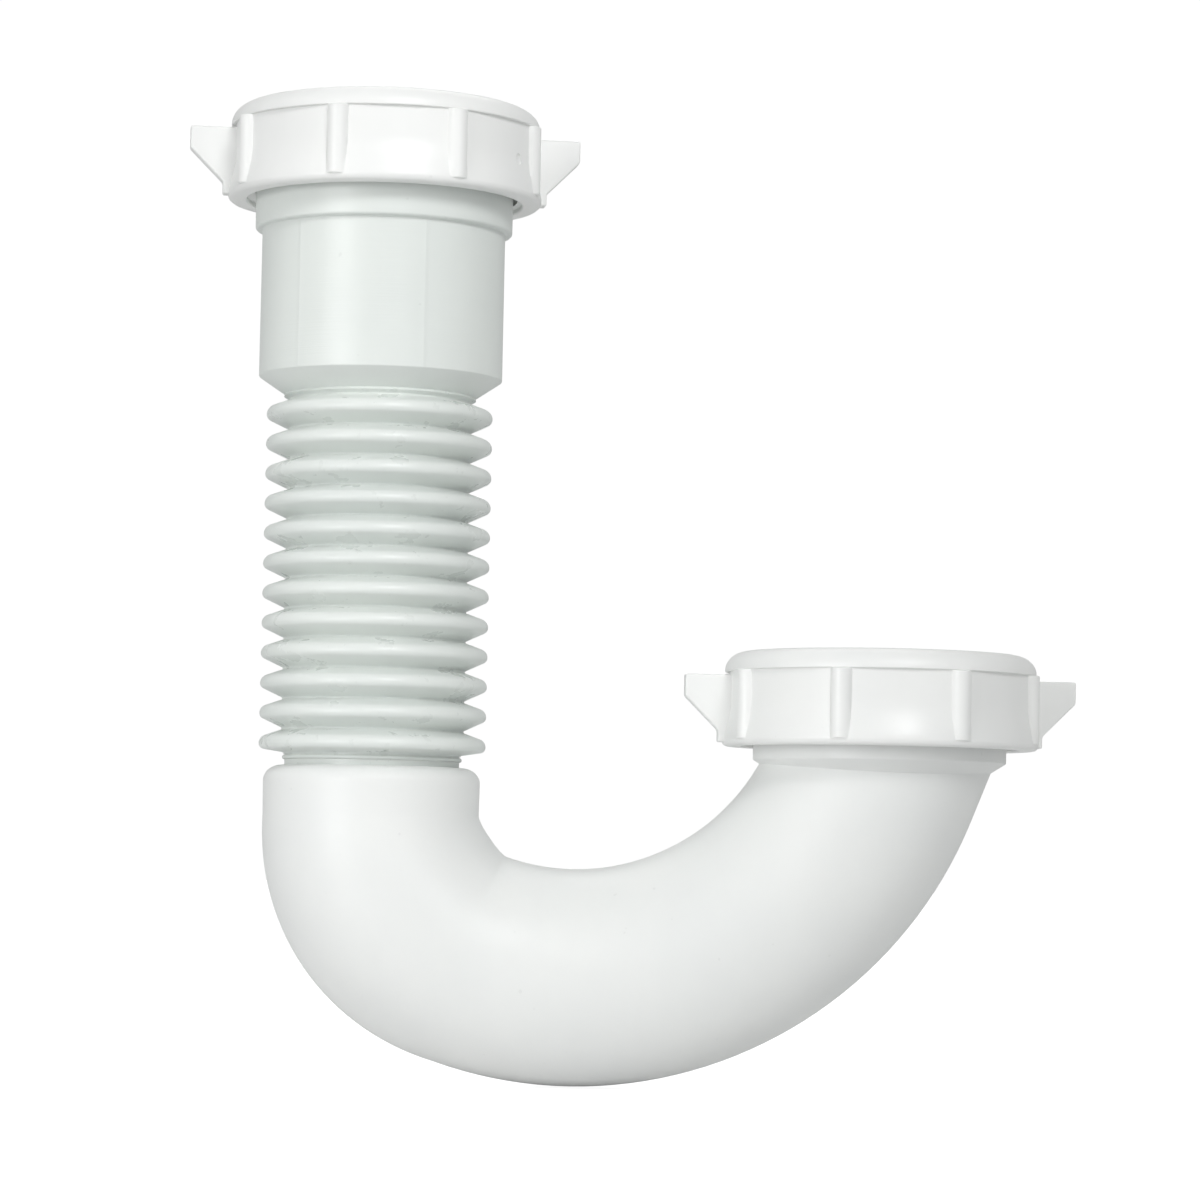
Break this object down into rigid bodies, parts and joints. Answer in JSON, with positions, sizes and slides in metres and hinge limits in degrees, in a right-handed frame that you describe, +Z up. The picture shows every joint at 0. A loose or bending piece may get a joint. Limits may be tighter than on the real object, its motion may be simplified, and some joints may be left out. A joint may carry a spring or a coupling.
{
  "type": "p trap",
  "caption": "White plastic J-bend trap with a corrugated flexible inlet riser and a winged slip nut and tapered washer at each threaded socket.",
  "frame": {"origin": "centre of the outlet socket's mouth, on the outlet's axis", "axes": "+Z up, out of both sockets; +X from the riser's leg towards the outlet; +Y from the side in view towards the back"},
  "size_m": [0.1588, 0.056, 0.1721],
  "materials": {
    "bend_white": "satin white polypropylene, faint mould bloom",
    "riser_white": "blow-moulded white polypropylene, slightly cooler and more translucent",
    "nut_white": "satin white polypropylene, fine moulded grain",
    "washer_seal": "soft waxy polyethylene"
  },
  "bodies": {
    "trap": {"j_bend": "bend_white", "flex_cuff": "riser_white"},
    "ring_01": {"flex_ring_01": "riser_white"},
    "ring_02": {"flex_ring_02": "riser_white"},
    "ring_03": {"flex_ring_03": "riser_white"},
    "ring_04": {"flex_ring_04": "riser_white"},
    "ring_05": {"flex_ring_05": "riser_white"},
    "ring_06": {"flex_ring_06": "riser_white"},
    "ring_07": {"flex_ring_07": "riser_white"},
    "ring_08": {"flex_ring_08": "riser_white"},
    "ring_09": {"flex_ring_09": "riser_white"},
    "ring_10": {"flex_ring_10": "riser_white"},
    "ring_11": {"flex_ring_11": "riser_white"},
    "ring_12": {"flex_ring_12": "riser_white"},
    "inlet": {"inlet_collar": "riser_white"},
    "inlet_seal": {"inlet_washer": "washer_seal"},
    "inlet_nut": {"inlet_nut": "nut_white"},
    "outlet_seal": {"outlet_washer": "washer_seal"},
    "outlet_nut": {"outlet_nut": "nut_white"}
  },
  "joints": [
    {"name": "flex_tilt_low", "type": "hinge", "parent": "trap", "child": "ring_01", "pos_m": [-0.0895, 0, -0.01509], "axis": [0, 1, 0], "range_deg": [-4.5, 4.5], "stiffness_Nm_per_rad": 3},
    {"name": "flex_side_low", "type": "hinge", "parent": "ring_01", "child": "ring_02", "pos_m": [-0.0895, 0, -0.00981], "axis": [1, 0, 0], "range_deg": [-4.5, 4.5], "stiffness_Nm_per_rad": 3},
    {"name": "flex_tilt_03", "type": "hinge", "parent": "ring_02", "child": "ring_03", "pos_m": [-0.0895, 0, -0.00452], "axis": [0, 1, 0], "range_deg": [-4.5, 4.5], "stiffness_Nm_per_rad": 3},
    {"name": "flex_side_04", "type": "hinge", "parent": "ring_03", "child": "ring_04", "pos_m": [-0.0895, 0, 0.00077], "axis": [1, 0, 0], "range_deg": [-4.5, 4.5], "stiffness_Nm_per_rad": 3},
    {"name": "flex_tilt_05", "type": "hinge", "parent": "ring_04", "child": "ring_05", "pos_m": [-0.0895, 0, 0.00605], "axis": [0, 1, 0], "range_deg": [-4.5, 4.5], "stiffness_Nm_per_rad": 3},
    {"name": "flex_side_06", "type": "hinge", "parent": "ring_05", "child": "ring_06", "pos_m": [-0.0895, 0, 0.01134], "axis": [1, 0, 0], "range_deg": [-4.5, 4.5], "stiffness_Nm_per_rad": 3},
    {"name": "flex_tilt_07", "type": "hinge", "parent": "ring_06", "child": "ring_07", "pos_m": [-0.0895, 0, 0.01663], "axis": [0, 1, 0], "range_deg": [-4.5, 4.5], "stiffness_Nm_per_rad": 3},
    {"name": "flex_side_high", "type": "hinge", "parent": "ring_07", "child": "ring_08", "pos_m": [-0.0895, 0, 0.02192], "axis": [1, 0, 0], "range_deg": [-4.5, 4.5], "stiffness_Nm_per_rad": 3},
    {"name": "flex_tilt_high", "type": "hinge", "parent": "ring_08", "child": "ring_09", "pos_m": [-0.0895, 0, 0.0272], "axis": [0, 1, 0], "range_deg": [-4.5, 4.5], "stiffness_Nm_per_rad": 3},
    {"name": "flex_side_10", "type": "hinge", "parent": "ring_09", "child": "ring_10", "pos_m": [-0.0895, 0, 0.03249], "axis": [1, 0, 0], "range_deg": [-4.5, 4.5], "stiffness_Nm_per_rad": 3},
    {"name": "flex_tilt_11", "type": "hinge", "parent": "ring_10", "child": "ring_11", "pos_m": [-0.0895, 0, 0.03778], "axis": [0, 1, 0], "range_deg": [-4.5, 4.5], "stiffness_Nm_per_rad": 3},
    {"name": "flex_side_12", "type": "hinge", "parent": "ring_11", "child": "ring_12", "pos_m": [-0.0895, 0, 0.04306], "axis": [1, 0, 0], "range_deg": [-4.5, 4.5], "stiffness_Nm_per_rad": 3},
    {"name": "flex_tilt_13", "type": "hinge", "parent": "ring_12", "child": "inlet", "pos_m": [-0.0895, 0, 0.04835], "axis": [0, 1, 0], "range_deg": [-4.5, 4.5], "stiffness_Nm_per_rad": 3},
    {"name": "inlet_washer_lift", "type": "slide", "parent": "inlet", "child": "inlet_seal", "axis": [0, 0, 1], "range_m": [0, 0.0078]},
    {"name": "inlet_nut_turn", "type": "hinge", "parent": "inlet_seal", "child": "inlet_nut", "pos_m": [-0.0895, 0, 0.0951], "axis": [0, 0, 1], "range_deg": [0, 1260]},
    {"name": "outlet_washer_lift", "type": "slide", "parent": "trap", "child": "outlet_seal", "axis": [0, 0, 1], "range_m": [0, 0.0078]},
    {"name": "outlet_nut_turn", "type": "hinge", "parent": "outlet_seal", "child": "outlet_nut", "pos_m": [0, 0, 0], "axis": [0, 0, 1], "range_deg": [0, 1260]}
  ],
  "couplings": [
    {"joint": "flex_tilt_03", "follows": "flex_tilt_low", "ratio": 1},
    {"joint": "flex_side_04", "follows": "flex_side_low", "ratio": 1},
    {"joint": "flex_tilt_05", "follows": "flex_tilt_low", "ratio": 1},
    {"joint": "flex_side_06", "follows": "flex_side_low", "ratio": 1},
    {"joint": "flex_tilt_07", "follows": "flex_tilt_low", "ratio": 1},
    {"joint": "flex_side_10", "follows": "flex_side_high", "ratio": 1},
    {"joint": "flex_tilt_11", "follows": "flex_tilt_high", "ratio": 1},
    {"joint": "flex_side_12", "follows": "flex_side_high", "ratio": 1},
    {"joint": "flex_tilt_13", "follows": "flex_tilt_high", "ratio": 1},
    {"joint": "inlet_washer_lift", "follows": "inlet_nut_turn", "m_per_rad": 0.00035152},
    {"joint": "outlet_washer_lift", "follows": "outlet_nut_turn", "m_per_rad": 0.00035152}
  ]
}
